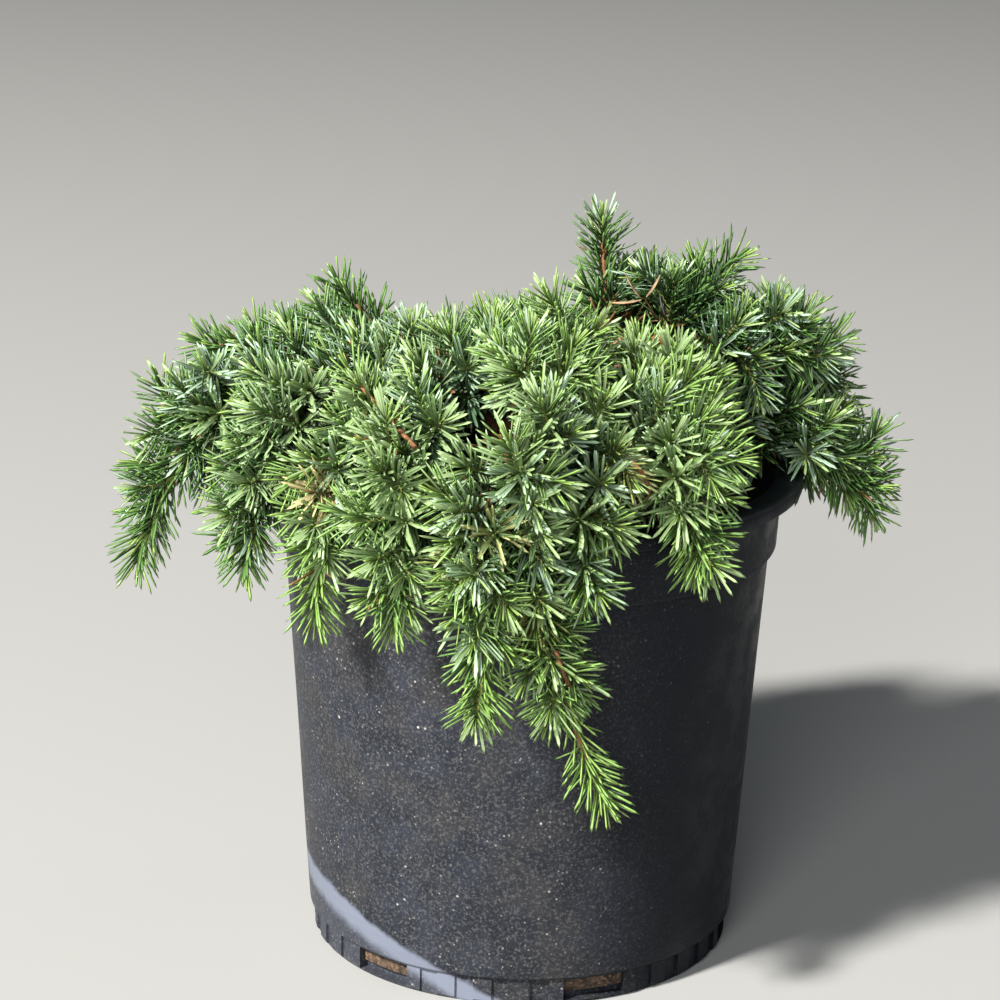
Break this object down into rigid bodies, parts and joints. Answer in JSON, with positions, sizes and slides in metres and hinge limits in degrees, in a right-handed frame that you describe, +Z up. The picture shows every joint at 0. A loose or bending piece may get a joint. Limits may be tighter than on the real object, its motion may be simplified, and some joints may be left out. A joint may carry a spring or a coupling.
{
  "type": "potted juniper",
  "caption": "Young shore juniper in a black nursery pot: short forked trunk, arching boughs and dense masses of needle shoots that spill over the rolled lip.",
  "frame": {"origin": "centre of the pot's flat underside", "axes": "+Z up; -Y is the front, where two strands hang over the lip; +X is the right seen from the front"},
  "size_m": [0.2483, 0.2257, 0.2274],
  "materials": {
    "pot_plastic": "charcoal black recycled plastic, satin, dusty and lightly scratched",
    "potting_mix": "dark, damp composted bark",
    "bark": "orange-brown bark, thin and flaking",
    "needles": "mid to blue green needles with a pale band"
  },
  "bodies": {
    "root": {"back_bough": "bark", "back_centre_bough": "bark", "back_centre_foliage": "needles", "back_foliage": "needles", "back_left_bough": "bark", "back_left_foliage": "needles", "back_right_bough": "bark", "back_right_foliage": "needles", "centre_bough": "bark", "centre_foliage": "needles", "centre_left_bough": "bark", "centre_left_foliage": "needles", "centre_top_bough": "bark", "centre_top_foliage": "needles", "front_centre_bough": "bark", "front_centre_foliage": "needles", "front_centre_left_bough": "bark", "front_centre_left_foliage": "needles", "front_left_bough": "bark", "front_left_foliage": "needles", "front_left_low_bough": "bark", "front_left_low_foliage": "needles", "front_middle_bough": "bark", "front_middle_foliage": "needles", "front_right_bough": "bark", "front_right_foliage": "needles", "hang_left_bough": "bark", "hang_left_foliage": "needles", "hang_right_bough": "bark", "hang_right_foliage": "needles", "left_back_bough": "bark", "left_back_foliage": "needles", "left_back_top_bough": "bark", "left_back_top_foliage": "needles", "left_front_bough": "bark", "left_front_foliage": "needles", "left_middle_bough": "bark", "left_middle_foliage": "needles", "left_outer_bough": "bark", "left_outer_foliage": "needles", "left_upper_bough": "bark", "left_upper_foliage": "needles", "pot": "pot_plastic", "potting_mix": "potting_mix", "right_back_bough": "bark", "right_back_foliage": "needles", "right_bright_bough": "bark", "right_bright_foliage": "needles", "right_low_bough": "bark", "right_low_foliage": "needles", "right_outer_bough": "bark", "right_outer_foliage": "needles", "right_top_bough": "bark", "right_top_foliage": "needles", "top_back_bough": "bark", "top_back_foliage": "needles", "top_peak_bough": "bark", "top_peak_foliage": "needles", "trunk": "bark"}
  },
  "joints": []
}
